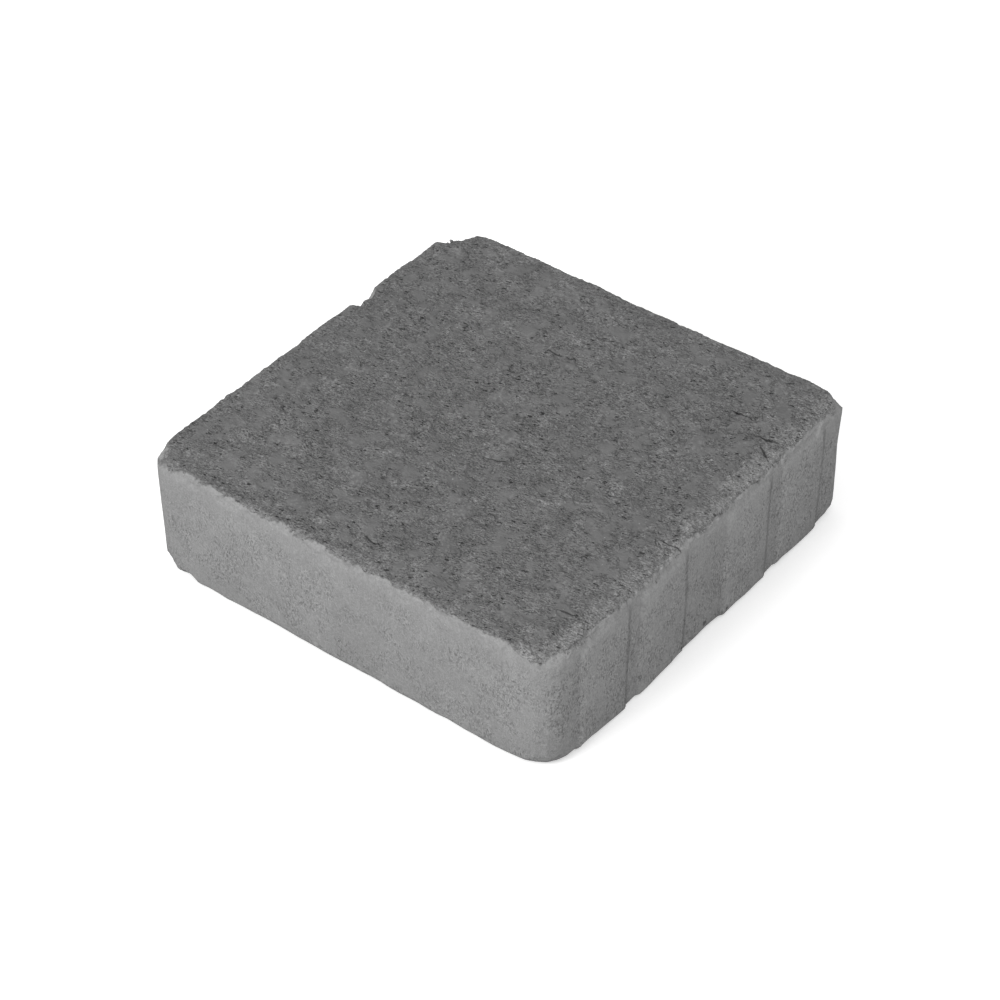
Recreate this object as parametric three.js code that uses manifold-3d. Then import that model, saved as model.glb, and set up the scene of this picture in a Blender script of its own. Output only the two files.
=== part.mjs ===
// A rumbled concrete paving stone: one block of pressed concrete, square in plan and flat on its bed.
// Four shallow spacer pads run down each of two opposite faces. Tumbling has rounded the plan corners,
// worn the edges unevenly and broken chips from them.
// Millimetres, +Z up. The bed lies on Z = 0 and the stone is centred on X = Y = 0.
import * as THREE from 'three';
import { LoftGeometry } from 'three/addons/geometries/LoftGeometry.js';
import { SimplexNoise } from 'three/addons/math/SimplexNoise.js';
import { mergeVertices } from 'three/addons/utils/BufferGeometryUtils.js';
import Module from 'manifold-3d';

// Body. right, back, left and front are the faces that look along +X, +Y, -X and -Y, and a value
// given by face for a corner belongs to the corner after that face, going counterclockwise.
const SIDE = 170.4;
const HEIGHT = 50;
const CORNER_RADIUS = { right: 6, back: 13, left: 8, front: 11 };
const DRAFT_DEGREES = 0.6;

// Spacer pads on the right and left faces, in two pairs about each face's middle
const PAD_WIDTH = 26.5;
const PAD_RELIEF = 0.9;
const PAD_FLANK = 1.3;
const MIDDLE_GROOVE = 22.2;
const PAIR_GROOVE = 5.9;
const PAD_HEAD_DROP = 3;
const PAD_HEAD_TAPER = 3.5;

// Worn edges: the radius along each face, what each corner has lost besides, and a variation over a span
const TOP_EDGE_RADIUS = { right: 2.6, back: 2.4, left: 1.2, front: 2.6 };
const TOP_CORNER_WEAR = { right: 2, back: 1.2, left: 3, front: 1 };
const BED_EDGE_RADIUS = { right: 2.8, back: 2.4, left: 2.4, front: 2.4 };
const BED_CORNER_WEAR = { right: 2, back: 2, left: 2, front: 3 };
const CORNER_WEAR_REACH = 16;
const EDGE_RADIUS_LEAST = 0.5;
const EDGE_VARIATION = 0.9;
const EDGE_VARIATION_SPAN = 16;

// Chips out of the top and bed edges. past is how far round, counterclockwise, from a face's middle or
// from a corner. long is along the edge, deep into the top or bed from the wall, and tall up the wall.
const NOTCH = { past: -24, long: 6, deep: 5, tall: 8 };
const NOTCH_TAIL = { past: -29, long: 13, deep: 4, tall: 6.5 };
const TOP_BACK_LEFT_BREAK = { past: 1.5, long: 22, deep: 6.6, tall: 8 };
const TOP_BACK_LEFT_BITE = { past: 9.5, long: 6, deep: 6, tall: 8 };
const TOP_FRONT_LEFT_FACET = { past: -1.5, long: 28, deep: 5.2, tall: 5 };
const TOP_BACK_RIGHT_FACET = { past: 2, long: 17, deep: 5, tall: 5.5 };
const BED_FRONT_LEFT_BREAK = { past: 1.5, long: 20, deep: 7.4, tall: 8.2 };
const BED_FRONT_LEFT_SPALL = { past: 12, long: 14, deep: 3.6, tall: 4.4 };
const BED_BACK_RIGHT_BREAK = { past: -3, long: 20, deep: 4.4, tall: 4.8 };
const BED_RIGHT_PIT = { past: 4, long: 8, deep: 1.9, tall: 2.2 };
const BED_PAD_END = { past: -14, long: 12, deep: 2.2, tall: 2.8 };
const BED_PAD_FRONT = { past: -65, long: 18, deep: 2.2, tall: 2.6 };
const BED_FRONT_NICK = { past: 2, long: 12, deep: 1.8, tall: 2.2 };
const BED_FRONT_CORNER_NICK = { past: 43, long: 9, deep: 2, tall: 2.4 };

// The top sags a little towards its edges, and the walls are not quite flat.
const TOP_SAG = 0.5;
const TOP_SAG_WIDTH = 9;
const WALL_WAVE = 0.3;
const WALL_WAVE_SPAN = 30;

// Shallow hollows where the top has lost its skin. A hollow deepens from one value of the noise to
// another, and the clearance keeps the top as it was between the hollows. The shift is how far the
// points of the hollows' mesh are moved off their even grid.
const HOLLOW_DEPTH = 0.65;
const HOLLOW_SPAN = 13;
const HOLLOW_STEP = 5;
const HOLLOW_SHIFT = 1.7;
const HOLLOW_CLEARANCE = 0.3;
const HOLLOW_RATIOS = { brink: -0.75, full: 0.75 };

// Fineness of the mesh
const STATION_STEP = 4;
const EDGE_STEPS = 4;
const WALL_RING_RATIOS = [0.3, 0.6, 0.86, 0.94];
const CHIP_SPLIT_COUNT = 2;

// Chance: the seed of the noise, and the numbers that keep its patterns on the edges and the top apart
const NOISE_SEED = 94;
const BED_EDGE_SEED = 0;
const TOP_EDGE_SEED = 5;
const HOLLOW_SEED = 9;

const ORIGIN = new THREE.Vector2();
const QUARTER_TURN = Math.PI / 2;
const FACES = ['right', 'back', 'left', 'front'];
const { lerp, clamp, degToRad, seededRandom, smoothstep } = THREE.MathUtils;

// The plan outline of the body, counterclockwise from the middle of the right face
function planOutline() {
  const half = SIDE / 2;
  const path = new THREE.Path();
  path.moveTo(half, 0);
  path.lineTo(half, half - CORNER_RADIUS.right);
  FACES.forEach((face, index) => {
    const radius = CORNER_RADIUS[face];
    const turn = index * QUARTER_TURN;
    const middle = new THREE.Vector2(half - radius, half - radius).rotateAround(ORIGIN, turn);
    path.absarc(middle.x, middle.y, radius, turn, turn + QUARTER_TURN);
  });
  path.closePath();
  return path;
}

const plan = planOutline();
const PERIMETER = plan.getLength();

// Places on the outline are distances along it. A quarter runs from one face's middle to the next.
const quarterLength = (face) => SIDE - (2 - QUARTER_TURN) * CORNER_RADIUS[face];
const faceMiddle = (face) => FACES.slice(0, FACES.indexOf(face)).reduce((sum, each) => sum + quarterLength(each), 0);
const cornerAfter = (face) => faceMiddle(face) + quarterLength(face) / 2;

function apart(distance, place) {
  const gap = Math.abs(distance - place) % PERIMETER;
  return Math.min(gap, PERIMETER - gap);
}

const PAD_INNER = (MIDDLE_GROOVE + PAD_WIDTH) / 2;
const PAD_OUTER = PAD_INNER + PAD_WIDTH + PAIR_GROOVE;
const PAD_MIDDLES = ['right', 'left'].flatMap((face) =>
  [-PAD_OUTER, -PAD_INNER, PAD_INNER, PAD_OUTER].map((offset) => faceMiddle(face) + offset));

// How far the outline stands out for a pad: 1 on its face, 0 in the grooves and on the plain faces
function padShare(distance) {
  const reach = Math.min(...PAD_MIDDLES.map((middle) => apart(distance, middle)));
  return clamp((PAD_WIDTH / 2 - reach) / PAD_FLANK, 0, 1);
}

// Distances along the outline where every section has a point: where its straights and arcs meet,
// at both ends of each pad's flanks, and in even steps between, with near doubles left out
function stationDistances() {
  const marks = [];
  let start = 0;
  for (const curve of plan.curves) {
    marks.push(start);
    start += curve.getLength();
  }
  for (const middle of PAD_MIDDLES) {
    for (const reach of [PAD_WIDTH / 2, PAD_WIDTH / 2 - PAD_FLANK]) {
      marks.push((middle - reach + PERIMETER) % PERIMETER, (middle + reach + PERIMETER) % PERIMETER);
    }
  }
  marks.sort((a, b) => a - b);
  return marks.flatMap((mark, index) => {
    const next = marks[index + 1] ?? PERIMETER;
    const steps = Math.max(1, Math.round((next - mark) / STATION_STEP));
    return Array.from({ length: steps }, (_, step) => lerp(mark, next, step / steps));
  }).filter((mark, index, all) => index === 0 || mark - all[index - 1] > PAD_FLANK / 4);
}

// However worn, an edge stays just tighter than the tightest plan corner.
const EDGE_RADIUS_LIMIT = 0.9 * Math.min(...Object.values(CORNER_RADIUS));

seededRandom(NOISE_SEED);
const noise = new SimplexNoise({ random: () => seededRandom() });

// 1 near a place on the outline, falling to 0 over the wear's reach about a distance from it
const nearness = (distance, place, limit) =>
  1 - smoothstep(apart(distance, place), limit - CORNER_WEAR_REACH / 2, limit + CORNER_WEAR_REACH / 2);

function edgeRadius(distance, point, faceRadius, cornerWear, seed) {
  const worn = FACES.reduce((sum, face) => sum
    + faceRadius[face] * nearness(distance, faceMiddle(face), quarterLength(face) / 2)
    + cornerWear[face] * nearness(distance, cornerAfter(face), CORNER_WEAR_REACH / 2), 0);
  const span = EDGE_VARIATION_SPAN;
  const varied = worn + EDGE_VARIATION * noise.noise3d(point.x / span, point.y / span, seed);
  return clamp(varied, EDGE_RADIUS_LEAST, EDGE_RADIUS_LIMIT);
}

// A point of the outline, the way out of the stone there, its share of a pad and its edge radii
function station(distance) {
  const share = (distance / PERIMETER) % 1;
  const point = plan.getPointAt(share);
  const along = plan.getTangentAt(share);
  return {
    point,
    out: new THREE.Vector2(along.y, -along.x),
    pad: padShare(distance),
    bed: edgeRadius(distance, point, BED_EDGE_RADIUS, BED_CORNER_WEAR, BED_EDGE_SEED),
    top: edgeRadius(distance, point, TOP_EDGE_RADIUS, TOP_CORNER_WEAR, TOP_EDGE_SEED)
  };
}

// One ring of the body. rise gives a station's height there and how far it is drawn in.
function section(stations, rise) {
  return stations.map((each) => {
    const { height, inset } = rise(each);
    const { point, out, pad } = each;
    const below = HEIGHT - PAD_HEAD_DROP - height;
    const relief = PAD_RELIEF * pad * clamp(below / PAD_HEAD_TAPER, 0, 1);
    const span = WALL_WAVE_SPAN;
    const wave = WALL_WAVE * noise.noise3d(point.x / span, point.y / span, height / span);
    const lean = Math.tan(degToRad(DRAFT_DEGREES)) * (HEIGHT - height);
    const place = point.clone().addScaledVector(out, relief + wave - lean - inset);
    return new THREE.Vector3(place.x, place.y, height);
  });
}

// The body is lofted through rings that climb from the bed round its lower edge, up the wall, round
// the upper edge and on to the flat of the top.
function bodyGeometry() {
  const stations = stationDistances().map(station);
  const shoulder = HEIGHT - TOP_SAG;
  const turns = Array.from({ length: EDGE_STEPS + 1 }, (_, step) => QUARTER_TURN * step / EDGE_STEPS);
  const lowerEdge = turns.map((turn) => section(stations, ({ bed }) =>
    ({ height: bed * (1 - Math.cos(turn)), inset: bed * (1 - Math.sin(turn)) })));
  const wall = WALL_RING_RATIOS.map((share) => section(stations, ({ bed, top }) =>
    ({ height: lerp(bed, shoulder - top, share), inset: 0 })));
  const upperEdge = turns.map((turn) => section(stations, ({ top }) =>
    ({ height: shoulder - top * (1 - Math.sin(turn)), inset: top * (1 - Math.cos(turn)) })));
  const rim = upperEdge.at(-1);
  const flat = rim.map((each) => new THREE.Vector3(each.x, each.y, 0)
    .multiplyScalar(1 - TOP_SAG_WIDTH / (SIDE / 2)).setZ(HEIGHT));
  return new LoftGeometry([...lowerEdge, ...wall, ...upperEdge, flat], { capStart: true, capEnd: true });
}

const wasm = await Module();
wasm.setup();

function solidOf(geometry) {
  const surface = new THREE.BufferGeometry()
    .setAttribute('position', geometry.getAttribute('position'))
    .setIndex(geometry.getIndex());
  const merged = mergeVertices(surface);
  return new wasm.Manifold(new wasm.Mesh({
    numProp: 3,
    vertProperties: merged.attributes.position.array,
    triVerts: Uint32Array.from(merged.index.array)
  }));
}

function geometryOf(solid) {
  const mesh = solid.getMesh();
  return new THREE.BufferGeometry()
    .setAttribute('position', new THREE.BufferAttribute(mesh.vertProperties, mesh.numProp))
    .setIndex(new THREE.BufferAttribute(mesh.triVerts, 1))
    .toNonIndexed();
}

// A rough lump bites a chip out of an edge. It is centred outside the stone, half as far from each of
// the edge's two faces as it reaches, so that it goes deep into the top or bed and tall down the wall.
const LUMP_REACH = 2 / (Math.sqrt(3) - 1);

function chip({ past, long, deep, tall }, place, height) {
  const { point, out } = station((place + past + PERIMETER) % PERIMETER);
  const outward = LUMP_REACH * deep;
  const upward = LUMP_REACH * tall;
  const centre = point.clone().addScaledVector(out, outward / 2);
  const lump = new THREE.IcosahedronGeometry(1, CHIP_SPLIT_COUNT);
  lump.scale(outward, long / Math.SQRT2, upward);
  lump.rotateZ(out.angle());
  lump.translate(centre.x, centre.y, height + (height > 0 ? upward / 2 : -upward / 2));
  return solidOf(lump);
}

// A slab above the top with a rough underside that reaches down into the stone where a hollow is. It
// rises clear of the top again before the sag begins.
function hollowCutter() {
  const width = SIDE - 2 * TOP_SAG_WIDTH;
  const steps = Math.round(width / HOLLOW_STEP);
  const slab = new THREE.BoxGeometry(width, width, HOLLOW_DEPTH, steps, steps, 1);
  const places = slab.getAttribute('position');
  for (let index = 0; index < places.count; index += 1) {
    if (places.getZ(index) < 0) {
      const grid = new THREE.Vector2(places.getX(index), places.getY(index));
      const inside = smoothstep(width / 2 - Math.max(Math.abs(grid.x), Math.abs(grid.y)), 0, HOLLOW_SPAN);
      const x = grid.x + HOLLOW_SHIFT * inside * noise.noise(grid.x / HOLLOW_STEP, grid.y / HOLLOW_STEP);
      const y = grid.y + HOLLOW_SHIFT * inside * noise.noise(grid.y / HOLLOW_STEP, grid.x / HOLLOW_STEP);
      const pattern = noise.noise3d(x / HOLLOW_SPAN, y / HOLLOW_SPAN, HOLLOW_SEED);
      const share = inside * smoothstep(pattern, HOLLOW_RATIOS.brink, HOLLOW_RATIOS.full);
      places.setXYZ(index, x, y, HOLLOW_CLEARANCE - (HOLLOW_CLEARANCE + HOLLOW_DEPTH) * share);
    } else {
      places.setZ(index, 2 * HOLLOW_CLEARANCE);
    }
  }
  slab.translate(0, 0, HEIGHT);
  return solidOf(slab);
}

const bites = [
  hollowCutter(),
  chip(NOTCH, faceMiddle('left'), HEIGHT),
  chip(NOTCH_TAIL, faceMiddle('left'), HEIGHT),
  chip(TOP_BACK_LEFT_BREAK, cornerAfter('back'), HEIGHT),
  chip(TOP_BACK_LEFT_BITE, cornerAfter('back'), HEIGHT),
  chip(TOP_FRONT_LEFT_FACET, cornerAfter('left'), HEIGHT),
  chip(TOP_BACK_RIGHT_FACET, cornerAfter('right'), HEIGHT),
  chip(BED_FRONT_LEFT_BREAK, cornerAfter('left'), 0),
  chip(BED_FRONT_LEFT_SPALL, cornerAfter('left'), 0),
  chip(BED_BACK_RIGHT_BREAK, cornerAfter('right'), 0),
  chip(BED_RIGHT_PIT, faceMiddle('right'), 0),
  chip(BED_PAD_END, faceMiddle('right'), 0),
  chip(BED_PAD_FRONT, faceMiddle('right'), 0),
  chip(BED_FRONT_NICK, faceMiddle('front'), 0),
  chip(BED_FRONT_CORNER_NICK, faceMiddle('front'), 0)
];

const body = bites.reduce((solid, bite) => solid.subtract(bite), solidOf(bodyGeometry()));
const geometry = geometryOf(body);
geometry.computeBoundingBox();
const centre = geometry.boundingBox.getCenter(new THREE.Vector3());
geometry.translate(-centre.x, -centre.y, -geometry.boundingBox.min.z);
geometry.computeVertexNormals();

const concrete = new THREE.MeshStandardMaterial({ color: 0x6f6f6f, roughness: 0.95, metalness: 0 });
const pavingStone = new THREE.Mesh(geometry, concrete);
pavingStone.name = 'paving_stone';

const group = new THREE.Group();
group.add(pavingStone);
export default group;
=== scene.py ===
import math

import bpy
import numpy as np
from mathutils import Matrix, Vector, noise


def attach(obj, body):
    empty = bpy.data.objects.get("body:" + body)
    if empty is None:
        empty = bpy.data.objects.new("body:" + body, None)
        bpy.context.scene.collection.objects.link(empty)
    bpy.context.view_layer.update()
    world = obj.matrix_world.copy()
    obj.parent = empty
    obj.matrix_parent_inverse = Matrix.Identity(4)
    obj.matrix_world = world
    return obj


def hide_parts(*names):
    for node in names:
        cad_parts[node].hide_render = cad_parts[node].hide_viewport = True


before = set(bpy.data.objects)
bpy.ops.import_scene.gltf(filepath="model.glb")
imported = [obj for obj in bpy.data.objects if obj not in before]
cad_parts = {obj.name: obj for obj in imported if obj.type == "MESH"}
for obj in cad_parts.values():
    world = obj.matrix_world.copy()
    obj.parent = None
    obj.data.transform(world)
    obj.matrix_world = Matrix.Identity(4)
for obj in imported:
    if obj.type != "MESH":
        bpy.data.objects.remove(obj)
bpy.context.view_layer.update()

MM = 0.001
TOP = 50 * MM
BLOCK = "paving_stone"

# Mesh
SURFACE_STEP = 0.5 * MM
MOST_TRIANGLES = 195_000
MASK_LEVELS = 20

# Where the weathering is, by height, by how much the surface looks up and by the distance from
# the middle: the wearing face, its rounded edge, the cast walls below it, the rim next to its
# edge, and the left and back sides, which are worn less
FACE_FADE = (43.5 * MM, 47 * MM)
EDGE_LOWER_TILT = (0, 0.4)
EDGE_UPPER_TILT = (0.75, 0.98)
BED_FADE = (0.5 * MM, 6 * MM)
FLAT_FADE = (74 * MM, 78 * MM)
HOLLOW_FADE = (TOP - 1 * MM, TOP - 0.8 * MM)
RIM = 85 * MM
RIM_FADE = (TOP - 2.5 * MM, TOP - 1 * MM)
RIM_MASK = 0.8
SUNK_FADE = (0.1 * MM, 0.4 * MM)
SUNK_MASK = 0.7
RIM_WIDTH = {"right": 11 * MM, "front": 3.5 * MM, "back": 3 * MM, "left": 3 * MM}
RIM_WEAR = {"right": 1, "front": 0.6, "back": 0.4, "left": 0.3}
SHELTERED = (79 * MM, 84 * MM)
SHELTER = 0.65
MELT_FACTOR = 0.5
MELT_TURNS = 20

# Patterns: kind, size, the value up to which it is black, the one from which it is white, settings
WORN_PATCHES = ("CLOUDS", 6 * MM, 0.46, 0.58, {"noise_depth": 2})
CRACKED_PATCHES = ("CLOUDS", 5 * MM, 0.52, 0.6, {"noise_depth": 1})
SHORT_CRACKS = ("DISTORTED_NOISE", 4.5 * MM, 0.01, 0.08,
                {"noise_basis": "VORONOI_F2_F1", "noise_distortion": "ORIGINAL_PERLIN",
                 "distortion": 0.8})

# What wears the surface, in order: name, pattern, depth, and the mask that says where
WEAR = (
    ("settled", ("CLOUDS", 24 * MM, 0.2, 0.8, {"noise_depth": 1}), 0.3 * MM, "face"),
    ("lost skin", ("CLOUDS", 2.2 * MM, 0.4, 0.52, {"noise_depth": 2}), 0.2 * MM, "worn"),
    ("crumbs", ("CLOUDS", 1.2 * MM, 0.2, 0.7, {"noise_depth": 0}), 0.22 * MM, "worn"),
    ("flaked rim", ("CLOUDS", 3 * MM, 0.42, 0.56, {"noise_depth": 2}), 0.3 * MM, "rim"),
    ("open pores", ("VORONOI", 4 * MM, 0.06, 0.18, {}), 0.4 * MM, "worn"),
    ("short cracks", SHORT_CRACKS, 0.4 * MM, "cracked"),
    ("scalloped edge", ("CLOUDS", 7 * MM, 0.4, 0.6, {"noise_depth": 1}), 0.3 * MM, "edge"),
    ("broken edge", ("CLOUDS", 2 * MM, 0.36, 0.55, {"noise_depth": 1}), 0.12 * MM, "edge"),
    ("cast wave", ("CLOUDS", 16 * MM, 0.2, 0.8, {"noise_depth": 1}), 0.12 * MM, "walls"),
)

# Open cracks in the wearing face: middle x and y, turn in degrees, length, depth. Lengths in mm
CRACKS = (
    (-7.3, 43.4, 13, 9.4, 0.9), (-15.0, 25.8, 19, 3.4, 0.8), (9.9, -15.7, 14, 5.6, 0.9),
    (61.7, 54.8, 2, 7.6, 0.9), (75.6, 48.6, 8, 7.6, 0.9), (78.5, 42.4, -36, 5.2, 1.0),
    (80.5, -14.7, 8, 7.0, 0.9), (74.5, -61.4, 16, 5.0, 0.8), (3.6, -72.8, -9, 6.0, 0.8),
)
CRACK_WIDTH = 0.9 * MM
CRACK_FAR_SLOPE = 1.6
CRACK_MARGIN = 2
CRACK_CLEAR = 3.0
CRACK_WANDER = 0.9 * MM
CRACK_WANDER_SPAN = 2.6 * MM

# The spacer pads of the right and left faces: where each one ends, seen from the front
PAD_BACK_EDGES = (-43.5 * MM, -11.1 * MM, 37.6 * MM, 70 * MM)
PAD_WIDTH = 26.5 * MM
PAD_FLANK = 1.3 * MM
# Painted light across each pad, palest at its front edge, and painted shade in the crease behind it
PAD_PAINTED_LIGHT = (0.99, 1.15)
CREASE_PAINTED_SHADE = 0.74

# The open pits of the walls: place and radius
PITS = (((84.7 * MM, 1.6 * MM, 4.6 * MM), 1.1 * MM),
        ((85.6 * MM, -13.0 * MM, 4.5 * MM), 0.7 * MM),
        ((85.6 * MM, 13.6 * MM, 3.2 * MM), 0.7 * MM))


def select_only(piece):
    bpy.ops.object.select_all(action="DESELECT")
    piece.select_set(True)
    bpy.context.view_layer.objects.active = piece


def apply_all(piece):
    select_only(piece)
    for modifier in list(piece.modifiers):
        bpy.ops.object.modifier_apply(modifier=modifier.name)


def fine_copy_of_block():
    """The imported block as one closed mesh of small, even faces."""
    stone = bpy.data.objects.new("rumbled_paving_stone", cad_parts[BLOCK].data.copy())
    bpy.context.collection.objects.link(stone)
    stone.data.materials.clear()
    select_only(stone)
    bpy.ops.object.mode_set(mode="EDIT")
    bpy.ops.mesh.select_all(action="SELECT")
    bpy.ops.mesh.remove_doubles(threshold=0.001 * MM)
    bpy.ops.object.mode_set(mode="OBJECT")
    remesh = stone.modifiers.new("even faces", "REMESH")
    remesh.mode = "VOXEL"
    remesh.voxel_size = SURFACE_STEP
    apply_all(stone)
    return stone


def per_vertex(piece, name):
    """One row of three numbers a vertex: its place for "co", or its normal for "normal"."""
    rows = np.empty(len(piece.data.vertices) * 3)
    piece.data.vertices.foreach_get(name, rows)
    return rows.reshape(-1, 3)


def move_to(piece, places):
    piece.data.vertices.foreach_set("co", places.ravel())
    piece.data.update()


def ramp(value, low, high):
    share = np.clip((value - low) / (high - low), 0, 1)
    return share * share * (3 - 2 * share)


def mask(piece, name, weights):
    """A vertex group from one weight a vertex, in a few even levels."""
    group = piece.vertex_groups.new(name=name)
    levels = np.rint(weights * MASK_LEVELS).astype(int)
    for level in range(1, MASK_LEVELS + 1):
        group.add(np.flatnonzero(levels == level).tolist(), level / MASK_LEVELS, "REPLACE")


def remember(piece, name, values):
    """Keeps one number a vertex for the concrete to read."""
    attribute = piece.data.attributes.new(name, "FLOAT", "POINT")
    attribute.data.foreach_set("value", values.astype(np.float32))


def patches(piece, name, base, pattern):
    """A mask that is the base mask in the pale patches of a pattern, and weaker elsewhere."""
    piece.vertex_groups.new(name=name)
    blend = piece.modifiers.new(name, "VERTEX_WEIGHT_MIX")
    blend.vertex_group_a = name
    blend.vertex_group_b = base
    blend.mix_set = "B"
    blend.mix_mode = "SET"
    blend.mask_texture = pattern
    blend.mask_tex_use_channel = "INT"
    blend.mask_tex_mapping = "LOCAL"


def add_mask(piece, name, other):
    """Adds one mask to another."""
    blend = piece.modifiers.new(name + " and " + other, "VERTEX_WEIGHT_MIX")
    blend.vertex_group_a = name
    blend.vertex_group_b = other
    blend.mix_set = "OR"
    blend.mix_mode = "ADD"


def texture(name, kind, size, low, high, settings):
    """A grey pattern of one size. Black up to the low value and white from the high one."""
    pattern = bpy.data.textures.new(name, kind)
    pattern.noise_scale = size
    for setting, value in settings.items():
        setattr(pattern, setting, value)
    pattern.use_color_ramp = True
    stops = pattern.color_ramp.elements
    stops[0].position, stops[0].color = low, (0, 0, 0, 1)
    stops[1].position, stops[1].color = high, (1, 1, 1, 1)
    return pattern


def wear(piece, pattern, depth, where):
    """Presses the surface in by the depth where the pattern is black, and not where it is white."""
    press = piece.modifiers.new(pattern.name, "DISPLACE")
    press.texture = pattern
    press.texture_coords = "LOCAL"
    press.direction = "NORMAL"
    press.mid_level = 1
    press.strength = depth
    press.vertex_group = where


def rim_of(places):
    """How worn the rim is: most at the outline of the face, and 0 past the rim's width."""
    x, y = places[:, 0], places[:, 1]
    sides = ((x, "right"), (-x, "left"), (y, "back"), (-y, "front"))
    return np.max([RIM_WEAR[side] * (1 - np.clip((RIM - out) / RIM_WIDTH[side], 0, 1))
                   for out, side in sides], axis=0)


def melt_facets(stone):
    """Rounds off the flat facets of the hollows in the face, and nothing past its flat."""
    places = per_vertex(stone, "co")
    out = np.max(np.abs(places[:, :2]), axis=1)
    mask(stone, "hollows", ramp(places[:, 2], *HOLLOW_FADE) * (1 - ramp(out, *FLAT_FADE)))
    melt = stone.modifiers.new("melted facets", "SMOOTH")
    melt.factor = MELT_FACTOR
    melt.iterations = MELT_TURNS
    melt.vertex_group = "hollows"
    apply_all(stone)


def weather(stone):
    """Wears the surface, and remembers its tilt and its share of the rim for the concrete."""
    melt_facets(stone)
    places = per_vertex(stone, "co")
    height, rise = places[:, 2], per_vertex(stone, "normal")[:, 2]
    sheltered = np.maximum(ramp(-places[:, 0], *SHELTERED), ramp(places[:, 1], *SHELTERED))
    face = ramp(height, *FACE_FADE) * (1 - SHELTER * sheltered)
    edge = face * ramp(rise, *EDGE_LOWER_TILT) * (1 - ramp(rise, *EDGE_UPPER_TILT))
    walls = (1 - ramp(height, *FACE_FADE)) * ramp(height, *BED_FADE)
    rim = RIM_MASK * (rim_of(places) * ramp(height, *RIM_FADE))
    remember(stone, "tilt", rise * (height > TOP / 2))
    remember(stone, "rim_share", rim_of(places) * (height > TOP / 2))
    for name, weights in (("face", face), ("edge", edge), ("walls", walls), ("rim", rim)):
        mask(stone, name, weights)
    mask(stone, "sunk", SUNK_MASK * face * ramp(TOP - height, *SUNK_FADE))
    patches(stone, "worn", "face", texture("worn patches", *WORN_PATCHES))
    add_mask(stone, "worn", "sunk")
    add_mask(stone, "worn", "rim")
    patches(stone, "cracked", "face", texture("cracked patches", *CRACKED_PATCHES))
    for name, pattern, depth, where in WEAR:
        wear(stone, texture(name, *pattern), depth, where)
    apply_all(stone)


def open_cracks(stone):
    """Cuts the cracks, and remembers how many millimetres each point is from one's middle."""
    places = per_vertex(stone, "co")
    gaps = np.full(len(places), CRACK_CLEAR)
    for x, y, turn, length, depth in CRACKS:
        middle = np.array([x * MM, y * MM])
        along_way = np.array([math.cos(math.radians(turn)), math.sin(math.radians(turn))])
        across_way = np.array([-along_way[1], along_way[0]])
        reach = (length / 2 + CRACK_MARGIN) * MM
        near = np.flatnonzero((places[:, 2] > FACE_FADE[1]) &
                              (np.hypot(*(places[:, :2] - middle).T) < reach))
        for index in near:
            offset = places[index, :2] - middle
            along, across = offset @ along_way, offset @ across_way
            wander = noise.noise(Vector((along / CRACK_WANDER_SPAN, x, y))) * CRACK_WANDER
            taper = 1 - min(1, abs(along) / (length / 2 * MM)) ** 2
            gap = (across - wander) / CRACK_WIDTH
            profile = max(0, 1 - abs(gap)) if gap < 0 else max(0, 1 - gap / CRACK_FAR_SLOPE)
            places[index, 2] -= depth * MM * taper * profile
            clear = abs(across - wander) / MM + max(0, abs(along) / MM - length / 2)
            if clear < abs(gaps[index]):
                gaps[index] = math.copysign(clear, gap)
    move_to(stone, places)
    remember(stone, "crack_gap", gaps)


def thin_out(stone):
    """Fewer faces where the surface is plain."""
    thin = stone.modifiers.new("fewer faces", "DECIMATE")
    thin.ratio = MOST_TRIANGLES / (2 * len(stone.data.polygons))
    thin.use_collapse_triangulate = True
    apply_all(stone)


def keep_level(stone):
    """Keeps the bed and the top within the height of the block."""
    places = per_vertex(stone, "co")
    places[:, 2] = np.clip(places[:, 2], 0, TOP)
    move_to(stone, places)


def mask_weights(piece, name):
    index = piece.vertex_groups[name].index
    weights = np.zeros(len(piece.data.vertices))
    for number, vertex in enumerate(piece.data.vertices):
        for member in vertex.groups:
            if member.group == index:
                weights[number] = member.weight
    return weights


def keep_wear(stone):
    """Remembers where the face is worn."""
    worn = mask_weights(stone, "worn")
    stone.vertex_groups.clear()
    remember(stone, "worn", worn)


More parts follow.
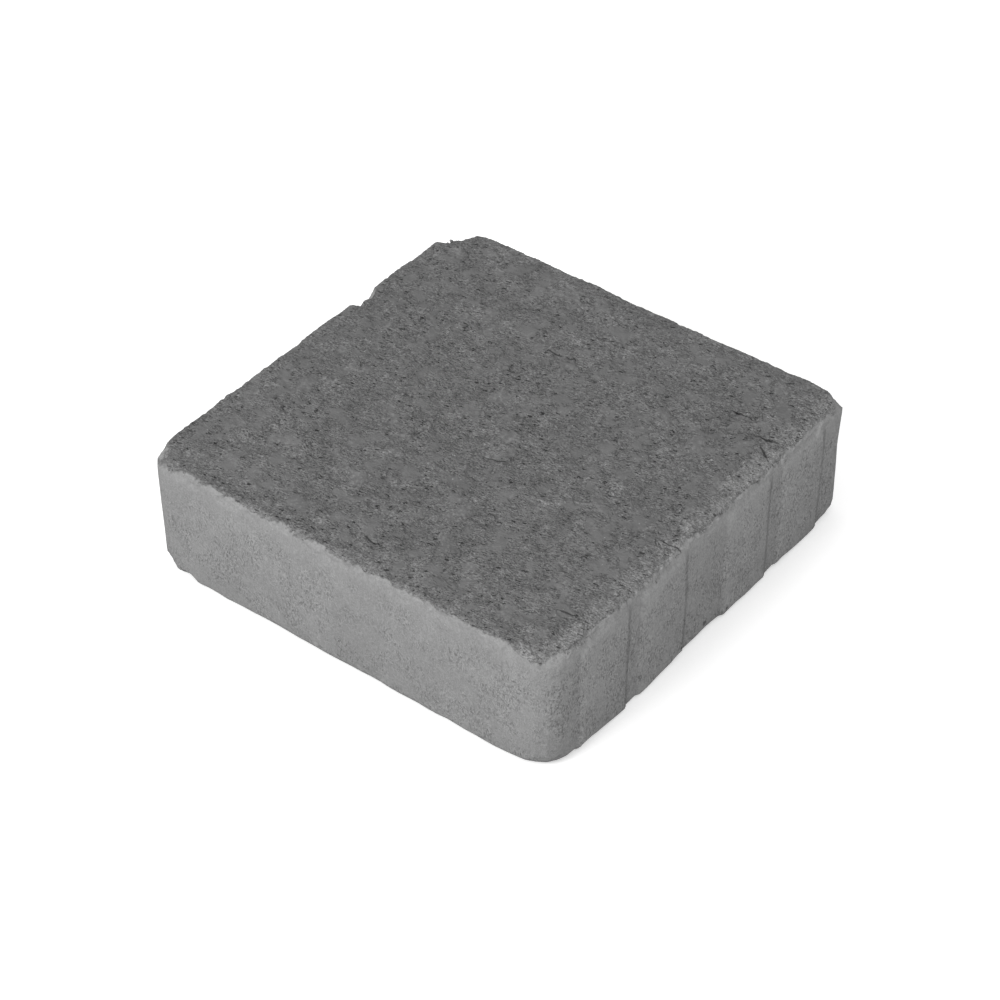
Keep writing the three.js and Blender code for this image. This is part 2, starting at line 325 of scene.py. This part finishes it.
class Finish:
    """Builds one material from patterns in the stone's own coordinates."""

    def __init__(self, name):
        self.material = bpy.data.materials.new(name)
        self.material.use_nodes = True
        self.nodes = self.material.node_tree.nodes
        self.links = self.material.node_tree.links
        self.shader = self.nodes["Principled BSDF"]
        self.place = self.nodes.new("ShaderNodeTexCoord").outputs["Object"]
        axes = self.nodes.new("ShaderNodeSeparateXYZ")
        self.put(axes.inputs["Vector"], self.place)
        self.x, self.y, self.z = axes.outputs["X"], axes.outputs["Y"], axes.outputs["Z"]

    def put(self, socket, value):
        if isinstance(value, bpy.types.NodeSocket):
            self.links.new(value, socket)
        else:
            socket.default_value = value

    def laid(self, long, turn=0.0, wander=0.0, span=1.0):
        """The place for a pattern drawn out by three factors, turned in plan and pushed about."""
        place = self.place
        if wander:
            drift = self.nodes.new("ShaderNodeTexNoise")
            self.put(drift.inputs["Vector"], self.place)
            self.put(drift.inputs["Scale"], 1 / span)
            self.put(drift.inputs["Detail"], 1)
            push = self.nodes.new("ShaderNodeVectorMath")
            push.operation = "MULTIPLY_ADD"
            self.put(push.inputs[0], drift.outputs["Color"])
            self.put(push.inputs[1], (wander, wander, wander))
            self.put(push.inputs[2], place)
            place = push.outputs["Vector"]
        node = self.nodes.new("ShaderNodeMapping")
        node.vector_type = "TEXTURE"
        self.put(node.inputs["Vector"], place)
        self.put(node.inputs["Rotation"], (0, 0, math.radians(turn)))
        self.put(node.inputs["Scale"], long)
        return node.outputs["Vector"]

    def clouds(self, size, detail=2.0, roughness=0.5, place=None, warp=0.0):
        node = self.nodes.new("ShaderNodeTexNoise")
        self.put(node.inputs["Vector"], place or self.place)
        self.put(node.inputs["Scale"], 1 / size)
        self.put(node.inputs["Detail"], detail)
        self.put(node.inputs["Roughness"], roughness)
        self.put(node.inputs["Distortion"], warp)
        return node.outputs["Fac"]

    def cells(self, size, place=None):
        """The distance from the middle of each cell, and a chance number for each cell."""
        node = self.nodes.new("ShaderNodeTexVoronoi")
        self.put(node.inputs["Vector"], place or self.place)
        self.put(node.inputs["Scale"], 1 / size)
        chance = self.nodes.new("ShaderNodeSeparateColor")
        self.put(chance.inputs["Color"], node.outputs["Color"])
        return node.outputs["Distance"], chance.outputs["Red"]

    def spread(self, value, low, high, to_low=0.0, to_high=1.0, smooth=False):
        """Takes the values from low to high to those between two others. It stops at the ends."""
        node = self.nodes.new("ShaderNodeMapRange")
        node.interpolation_type = "SMOOTHSTEP" if smooth else "LINEAR"
        self.put(node.inputs["Value"], value)
        ends = {"From Min": low, "From Max": high, "To Min": to_low, "To Max": to_high}
        for name, number in ends.items():
            self.put(node.inputs[name], number)
        return node.outputs["Result"]

    def toned(self, share, tone):
        """1 where the share is 0, and the tone where it is 1."""
        return self.spread(share, 0, 1, 1, tone)

    def swing(self, value, amount, low=0, high=1):
        """From minus to plus the amount, between two values."""
        return self.spread(value, low, high, -amount, amount)

    def reckon(self, operation, *values):
        node = self.nodes.new("ShaderNodeMath")
        node.operation = operation
        for socket, value in zip(node.inputs, values):
            self.put(socket, value)
        return node.outputs["Value"]

    def times(self, first, *others):
        for other in others:
            first = self.reckon("MULTIPLY", first, other)
        return first

    def plus(self, first, *others):
        for other in others:
            first = self.reckon("ADD", first, other)
        return first

    def apart(self, value, middle):
        """How far a value is from a middle."""
        return self.reckon("ABSOLUTE", self.reckon("SUBTRACT", value, middle))

    def blend(self, share, one, two):
        node = self.nodes.new("ShaderNodeMix")
        self.put(node.inputs["Factor"], share)
        self.put(node.inputs["A"], one)
        self.put(node.inputs["B"], two)
        return node.outputs["Result"]

    def near(self, point, radius):
        """1 within half a radius of a point, and 0 past the radius."""
        node = self.nodes.new("ShaderNodeVectorMath")
        node.operation = "DISTANCE"
        self.put(node.inputs[0], self.place)
        self.put(node.inputs[1], point)
        return self.spread(node.outputs["Value"], radius / 2, radius, 1, 0, smooth=True)

    def attribute(self, name):
        node = self.nodes.new("ShaderNodeAttribute")
        node.attribute_name = name
        return node.outputs["Fac"]


# Ranges of a cloud pattern's values: about its middle, and wider
MIDDLE = (0.35, 0.65)
WIDE = (0.3, 0.7)

PAD_SHOULDERS = (0.3 * MM, 0.7 * MM)
PAD_SIDES = (81 * MM, 83 * MM)
PAD_HEADS = (47 * MM, 43.5 * MM)
CREASE_FADE = (0.7 * MM, 1.9 * MM)


def pad_painted_shading(finish):
    """Painted light on the pads, palest at their front edges, and painted shade in the crease behind
    each pad.
    """
    painted_light, painted_shade = 1, 0
    for edge in PAD_BACK_EDGES:
        ahead = finish.reckon("SUBTRACT", edge, finish.y)
        on_pad = finish.times(finish.spread(ahead, 0, PAD_FLANK),
                              finish.spread(ahead, PAD_WIDTH + PAD_SHOULDERS[0],
                                            PAD_WIDTH - PAD_SHOULDERS[1]))
        # Painted light, from the pad's back edge to its front edge
        painted_light = finish.blend(on_pad, painted_light, finish.spread(ahead, 0, PAD_WIDTH, *PAD_PAINTED_LIGHT))
        # Painted shade in the crease behind the pad
        crease = finish.apart(finish.y, edge - PAD_FLANK / 2)
        in_crease = finish.spread(crease, *CREASE_FADE, 1, 0, smooth=True)
        painted_shade = finish.reckon("MAXIMUM", painted_shade, in_crease)
    on_side = finish.times(finish.spread(finish.reckon("ABSOLUTE", finish.x), *PAD_SIDES),
                           finish.spread(finish.z, *PAD_HEADS))
    return finish.blend(on_side, 1, finish.times(painted_light, finish.toned(painted_shade, CREASE_PAINTED_SHADE)))


# Cast walls: their tone and its mottle, and by height
WALL_TONE = (0.262, 0.282)
MOTTLE_SIZE = 10 * MM
WALL_HEIGHTS, WALL_BY_HEIGHT = (5 * MM, 40 * MM), (0.94, 1.02)
PALE_SIZE, PALE_VALUES, PALE_TONE = 3.5 * MM, (0.58, 0.72), 1.1
# Where the walls are pitted: in patches, less near the top, and more on the right and left faces
PITTED_SIZE, PITTED_VALUES, PITTED_LEAST = 8 * MM, (0.42, 0.58), 0.25
PITTED_HEIGHTS, PITTED_AT_TOP = (45 * MM, 38 * MM), 0.2
PITTED_SIDES, PITTED_BY_SIDE = (80 * MM, 84 * MM), (0.85, 1.5)
# Grit, the mould's upright drag, short upright dashes and the open pits, the dashes and pits dark
# with painted shade
GRIT_SIZE, GRIT_LONG, GRIT_LEAST = 0.45 * MM, (1, 1, 1.3), 0.35
GRIT_TONE, GRIT_RELIEF = 0.21, 0.12
DRAG_SIZE, DRAG_LONG, DRAG_TONE, DRAG_RELIEF = 1.2 * MM, (1, 1, 5), (0.97, 1.03), 0.03
DASH_SIZE, DASH_LONG, DASH_VALUES = 0.6 * MM, (1, 1, 2.4), (0.58, 0.64)
DASH_PAINTED_SHADE, DASH_RELIEF = 0.72, -0.2
PIT_PAINTED_SHADE, PIT_RELIEF = 0.45, -0.6


def wall_finish(finish):
    """Cast walls: pale and softly mottled, dragged upright by the mould, with pitted patches."""
    times, plus, spread = finish.times, finish.plus, finish.spread
    mottle = spread(finish.clouds(MOTTLE_SIZE, 3), *MIDDLE, *WALL_TONE, smooth=True)
    pale = spread(finish.clouds(PALE_SIZE, 3, 0.6), *PALE_VALUES, 0, 1, smooth=True)
    pitted = times(spread(finish.clouds(PITTED_SIZE, 3), *PITTED_VALUES, PITTED_LEAST, 1),
                   spread(finish.z, *PITTED_HEIGHTS, PITTED_AT_TOP, 1),
                   spread(finish.reckon("ABSOLUTE", finish.x), *PITTED_SIDES, *PITTED_BY_SIDE))
    _, grit = finish.cells(GRIT_SIZE, finish.laid(GRIT_LONG))
    drag = finish.clouds(DRAG_SIZE, 2, place=finish.laid(DRAG_LONG))
    dash = finish.clouds(DASH_SIZE, 2, place=finish.laid(DASH_LONG))
    dashes = times(spread(dash, *DASH_VALUES), pitted)
    pits = 0
    for point, radius in PITS:
        pits = plus(pits, finish.near(point, radius))
    # The dashes and pits are darkened by painted shade
    tone = times(mottle,
                 finish.toned(pale, PALE_TONE),
                 plus(1, times(finish.swing(grit, GRIT_TONE), spread(pitted, 0, 1, GRIT_LEAST, 1))),
                 spread(drag, *WIDE, *DRAG_TONE),
                 finish.toned(dashes, DASH_PAINTED_SHADE),
                 finish.toned(pits, PIT_PAINTED_SHADE),
                 spread(finish.z, *WALL_HEIGHTS, *WALL_BY_HEIGHT),
                 pad_painted_shading(finish))
    relief = plus(times(finish.swing(grit, GRIT_RELIEF), spread(pitted, 0, 1, GRIT_LEAST, 1)),
                  finish.swing(drag, DRAG_RELIEF, *WIDE),
                  spread(dashes, 0, 1, 0, DASH_RELIEF),
                  spread(pits, 0, 1, 0, PIT_RELIEF))
    return tone, relief


# Wearing face: the tone of its skin, and the patches where the coarse grain shows through
SKIN_SIZE, SKIN_TONE = 11 * MM, (0.121, 0.139)
COARSE_SIZE, COARSE_VALUES, COARSE_LEAST, COARSE_BY_WEAR = 7 * MM, (0.46, 0.6), 0.16, 0.2
COARSE_TONE = 1.15
BLOOM_SIZE, BLOOM_VALUES, BLOOM_MOST = 7 * MM, (0.52, 0.72), 0.045
# Grains and crumbs, which run across the stone
ACROSS_LONG, ACROSS_TURN = (1.5, 1, 1), 10
GRAIN_SIZE, GRAIN_TONE, GRAIN_RELIEF = 0.4 * MM, 0.4, 0.15
CRUMB_SIZE, CRUMB_RELIEF = 0.75 * MM, 0.26
# Broken skin: its ledges, dark with painted shade, and their lips, pale with painted highlight, each
# about one value of the pattern
BROKEN_SIZE, BROKEN_LONG, BROKEN_TURN, BROKEN_WARP = 2.6 * MM, (2.2, 1, 1), 12, 0.3
BROKEN_VALUES, BROKEN_RELIEF = (0.44, 0.5), 0.12
TORN_SIZE, TORN_VALUES, TORN_COARSE = 2.4 * MM, (0.46, 0.56), (0.1, 0.6)
LEDGE_VALUE, LEDGE_FADE, LEDGE_PAINTED_SHADE = 0.47, (0.006, 0.025), 0.54
LIP_VALUE, LIP_FADE, LIP_PAINTED_HIGHLIGHT = 0.5, (0.012, 0.03), 1.22
# Short torn strokes, dark with painted shade, and pale flecks
STROKE_SIZE, STROKE_LONG, STROKE_TURN = 1 * MM, (4, 1, 1), 15
STROKE_WANDER, STROKE_SPAN = 1.2 * MM, 1.2 * MM
STROKE_BY_COARSE, STROKE_CHANCES, STROKE_MOST = 0.4, (0.78, 1.2), 0.3
STROKE_EDGE, STROKE_PAINTED_SHADE, STROKE_RELIEF = 0.05, 0.24, -0.4
FLECK_SIZE, FLECK_FADE, FLECK_CHANCES, FLECK_TONE = 1.2 * MM, (0.12, 0.26), (0.7, 0.8), 1.22


def face_finish(finish):
    """Wearing face: a dark smooth skin, worn through in patches to a paler, coarse grain."""
    times, plus, spread = finish.times, finish.plus, finish.spread
    worn = finish.attribute("worn")
    coarse = spread(plus(times(worn, COARSE_BY_WEAR), finish.clouds(COARSE_SIZE, 3, 0.55)),
                    *COARSE_VALUES, COARSE_LEAST, 1)
    skin = spread(finish.clouds(SKIN_SIZE, 3), *MIDDLE, *SKIN_TONE, smooth=True)
    bloom = spread(finish.clouds(BLOOM_SIZE, 5, 0.62), *BLOOM_VALUES, 0, BLOOM_MOST, smooth=True)

    across = finish.laid(ACROSS_LONG, ACROSS_TURN)
    _, grain = finish.cells(GRAIN_SIZE, across)
    crumb = finish.clouds(CRUMB_SIZE, 2, 0.6, place=across)
    broken = finish.clouds(BROKEN_SIZE, 3.5, 0.6, place=finish.laid(BROKEN_LONG, BROKEN_TURN),
                           warp=BROKEN_WARP)
    torn_open = times(spread(finish.clouds(TORN_SIZE, 2), *TORN_VALUES),
                      spread(coarse, *TORN_COARSE))
    ledges = times(spread(finish.apart(broken, LEDGE_VALUE), *LEDGE_FADE, 1, 0), torn_open)
    lips = times(spread(finish.apart(broken, LIP_VALUE), *LIP_FADE, 1, 0), torn_open)
    stroke_distance, stroke_chance = finish.cells(
        STROKE_SIZE, finish.laid(STROKE_LONG, STROKE_TURN, STROKE_WANDER, STROKE_SPAN))
    stroke_size = spread(plus(stroke_chance, times(coarse, STROKE_BY_COARSE)),
                         *STROKE_CHANCES, 0, STROKE_MOST)
    strokes = spread(finish.reckon("SUBTRACT", stroke_size, stroke_distance), 0, STROKE_EDGE)
    fleck_distance, fleck_chance = finish.cells(FLECK_SIZE)
    flecks = times(spread(fleck_distance, *FLECK_FADE, 1, 0),
                   spread(fleck_chance, *FLECK_CHANCES), coarse)
    # The lips carry painted highlight, and the ledges and strokes carry painted shade
    tone = times(plus(skin, times(bloom, coarse)),
                 finish.toned(coarse, COARSE_TONE),
                 plus(1, times(coarse, finish.swing(grain, GRAIN_TONE))),
                 finish.toned(lips, LIP_PAINTED_HIGHLIGHT),
                 finish.toned(ledges, LEDGE_PAINTED_SHADE),
                 finish.toned(strokes, STROKE_PAINTED_SHADE),
                 finish.toned(flecks, FLECK_TONE))
    relief = plus(times(finish.swing(crumb, CRUMB_RELIEF, *WIDE), coarse),
                  times(finish.swing(grain, GRAIN_RELIEF), coarse),
                  times(finish.swing(broken, BROKEN_RELIEF, *BROKEN_VALUES), coarse),
                  times(strokes, STROKE_RELIEF))
    return tone, relief


# Where the face mix ends: how far up and how level a point is, made ragged by two sizes of pattern
WAVER_SIZE, WAVER = 9 * MM, 0.5
CRUMBLE_SIZE, CRUMBLE = 1.3 * MM, 0.32
CLIMB_BY_TILT, CLIMB_HEIGHTS, CLIMB_BY_HEIGHT = 0.65, (44.5 * MM, 50 * MM), 0.35
FRAY = 4
FACE_ENDS = (0.4, 0.84)
# The pale rim: how ragged it is, its tone, and how much of the face mix is left on it
RIM_WAVER, RIM_CRUMBLE, RIM_SHARES = 0.8, 1.4, (0.15, 0.95)
RIM_TONE, RIM_FACE_LEFT = 1.5, 0.78
# Cracks, by the distance from their middle in millimetres, with painted shade in them, and a few
# pale grains
CRACK_FADE, CRACK_PAINTED_SHADE, CRACK_RELIEF = (0.2, 0.55), 0.4, -0.4
SPECK_SIZE, SPECK_FADE, SPECK_CHANCES = 2.4 * MM, (0.07, 0.12), (0.8, 0.85)
SPECK_SHARE, SPECK_TONE = 0.45, 0.5
ROUGHNESS_SIZE, ROUGHNESS = 5 * MM, (0.84, 0.97)
SHINE = 0.3


def concrete():
    finish = Finish("concrete")
    times, plus, spread = finish.times, finish.plus, finish.spread
    wall_tone, wall_relief = wall_finish(finish)
    face_tone, face_relief = face_finish(finish)

    # The darker face mix thins out over the rim to the paler mix of the walls, and frays at the edge
    waver = finish.swing(finish.clouds(WAVER_SIZE, 3), WAVER, *WIDE)
    crumble = finish.swing(finish.clouds(CRUMBLE_SIZE, 2), CRUMBLE, *WIDE)
    climb = plus(times(finish.attribute("tilt"), CLIMB_BY_TILT),
                 spread(finish.z, *CLIMB_HEIGHTS, 0, CLIMB_BY_HEIGHT))
    fray = times(climb, finish.reckon("SUBTRACT", 1, climb), FRAY)
    on_face = spread(plus(climb, times(plus(waver, crumble), fray)), *FACE_ENDS, smooth=True)
    pale_rim = spread(plus(finish.attribute("rim_share"), times(waver, RIM_WAVER),
                           times(crumble, RIM_CRUMBLE)), *RIM_SHARES)
    face_tone = times(face_tone, finish.toned(pale_rim, RIM_TONE))
    tone = finish.blend(times(on_face, finish.toned(pale_rim, RIM_FACE_LEFT)), wall_tone, face_tone)
    crack_gap = finish.reckon("ABSOLUTE", finish.attribute("crack_gap"))
    crack = spread(crack_gap, *CRACK_FADE, 1, 0, smooth=True)
    # Painted shade in the cracks
    tone = times(tone, finish.toned(crack, CRACK_PAINTED_SHADE))

    speck_distance, speck_chance = finish.cells(SPECK_SIZE)
    specks = times(spread(speck_distance, *SPECK_FADE, 1, 0), spread(speck_chance, *SPECK_CHANCES))
    tone = finish.blend(times(specks, SPECK_SHARE), tone, SPECK_TONE)
    colour = finish.nodes.new("ShaderNodeCombineColor")
    for channel in ("Red", "Green", "Blue"):
        finish.put(colour.inputs[channel], tone)
    finish.put(finish.shader.inputs["Base Color"], colour.outputs["Color"])

    # Fine relief, in millimetres
    bump = finish.nodes.new("ShaderNodeBump")
    bump.inputs["Strength"].default_value = 1
    bump.inputs["Distance"].default_value = MM
    relief = plus(finish.blend(on_face, wall_relief, face_relief), times(crack, CRACK_RELIEF))
    finish.put(bump.inputs["Height"], relief)
    finish.put(finish.shader.inputs["Normal"], bump.outputs["Normal"])
    finish.put(finish.shader.inputs["Roughness"],
               spread(finish.clouds(ROUGHNESS_SIZE, 2), *WIDE, *ROUGHNESS))
    finish.shader.inputs["Specular IOR Level"].default_value = SHINE
    return finish.material


def make_stone():
    stone = fine_copy_of_block()
    weather(stone)
    open_cracks(stone)
    thin_out(stone)
    keep_level(stone)
    keep_wear(stone)
    select_only(stone)
    bpy.ops.object.shade_smooth()
    stone.data.materials.append(concrete())
    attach(stone, "root")
    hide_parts(BLOCK)


# Camera: it looks at a point on the floor from the front right and above.
CAMERA_AZIMUTH = math.radians(37.72)
CAMERA_HEIGHT_ANGLE = math.radians(40.44)
CAMERA_DISTANCE = 1.0537
CAMERA_TARGET = Vector((-0.01193, 0.01439, 0))
CAMERA_LENS = 107.0
CAMERA_NEAREST, CAMERA_FARTHEST = 0.1, 50


def set_camera():
    data = bpy.data.cameras.new("camera")
    data.lens = CAMERA_LENS
    data.clip_start = CAMERA_NEAREST
    data.clip_end = CAMERA_FARTHEST
    camera = bpy.data.objects.new("camera", data)
    bpy.context.collection.objects.link(camera)
    level = math.cos(CAMERA_HEIGHT_ANGLE)
    back = Vector((math.sin(CAMERA_AZIMUTH) * level, -math.cos(CAMERA_AZIMUTH) * level,
                   math.sin(CAMERA_HEIGHT_ANGLE)))
    camera.location = CAMERA_TARGET + back * CAMERA_DISTANCE
    camera.rotation_euler = (-back).to_track_quat("-Z", "Y").to_euler()
    bpy.context.scene.camera = camera


SOFTBOX_DISTANCE = 1.6
SOFTBOX_SIZE = 0.6


def softbox(name, azimuth, height_angle, power):
    """A square lamp that looks at the stone. Azimuth 0 is in front of it and 90 on its right."""
    data = bpy.data.lights.new(name, "AREA")
    data.shape = "SQUARE"
    data.size = SOFTBOX_SIZE
    data.energy = power
    lamp = bpy.data.objects.new(name, data)
    bpy.context.collection.objects.link(lamp)
    turn, lift = math.radians(azimuth), math.radians(height_angle)
    toward = Vector((math.sin(turn) * math.cos(lift), -math.cos(turn) * math.cos(lift),
                     math.sin(lift)))
    lamp.location = toward * SOFTBOX_DISTANCE
    lamp.rotation_euler = (-toward).to_track_quat("-Z", "Y").to_euler()


# The floor lies a hair above the bed: in one plane with it, the floor would hide parts of the bed
# from below.
FLOOR_SIZE = 6
FLOOR_LEVEL = 0.02 * MM
FLOOR_GREY = 0.5
FLOOR_WHITE = 0.9
FLOOR_GLOW = 0.35


def add_floor():
    bpy.ops.mesh.primitive_plane_add(size=FLOOR_SIZE, location=(0, 0, FLOOR_LEVEL))
    floor = bpy.context.object
    floor.name = "floor"
    white = bpy.data.materials.new("white floor")
    white.use_nodes = True
    nodes, links = white.node_tree.nodes, white.node_tree.links
    shader = nodes["Principled BSDF"]
    shader.inputs["Roughness"].default_value = 1
    shader.inputs["Specular IOR Level"].default_value = 0
    shader.inputs["Emission Color"].default_value = (1, 1, 1, 1)
    path = nodes.new("ShaderNodeLightPath")
    tone = nodes.new("ShaderNodeMix")
    tone.data_type = "RGBA"
    tone.inputs["A"].default_value = (FLOOR_GREY, FLOOR_GREY, FLOOR_GREY, 1)
    tone.inputs["B"].default_value = (FLOOR_WHITE, FLOOR_WHITE, FLOOR_WHITE, 1)
    links.new(path.outputs["Is Camera Ray"], tone.inputs["Factor"])
    links.new(tone.outputs["Result"], shader.inputs["Base Color"])
    glow = nodes.new("ShaderNodeMath")
    glow.operation = "MULTIPLY"
    glow.inputs[1].default_value = FLOOR_GLOW
    links.new(path.outputs["Is Camera Ray"], glow.inputs[0])
    links.new(glow.outputs["Value"], shader.inputs["Emission Strength"])
    floor.data.materials.append(white)


# The world's light on the stone, and as the camera sees it
WORLD_LIGHT, WORLD_SEEN = 0.81, 1


def set_studio():
    world = bpy.data.worlds.new("studio")
    bpy.context.scene.world = world
    world.use_nodes = True
    nodes, links = world.node_tree.nodes, world.node_tree.links
    background = nodes["Background"]
    background.inputs["Color"].default_value = (1, 1, 1, 1)
    path = nodes.new("ShaderNodeLightPath")
    strength = nodes.new("ShaderNodeMapRange")
    strength.inputs["To Min"].default_value = WORLD_LIGHT
    strength.inputs["To Max"].default_value = WORLD_SEEN
    links.new(path.outputs["Is Camera Ray"], strength.inputs["Value"])
    links.new(strength.outputs["Result"], background.inputs["Strength"])
    softbox("key", azimuth=-12, height_angle=36, power=12.7)
    softbox("fill", azimuth=50, height_angle=30, power=3.2)
    bpy.context.scene.view_settings.view_transform = "Standard"


set_camera()
add_floor()
set_studio()
make_stone()
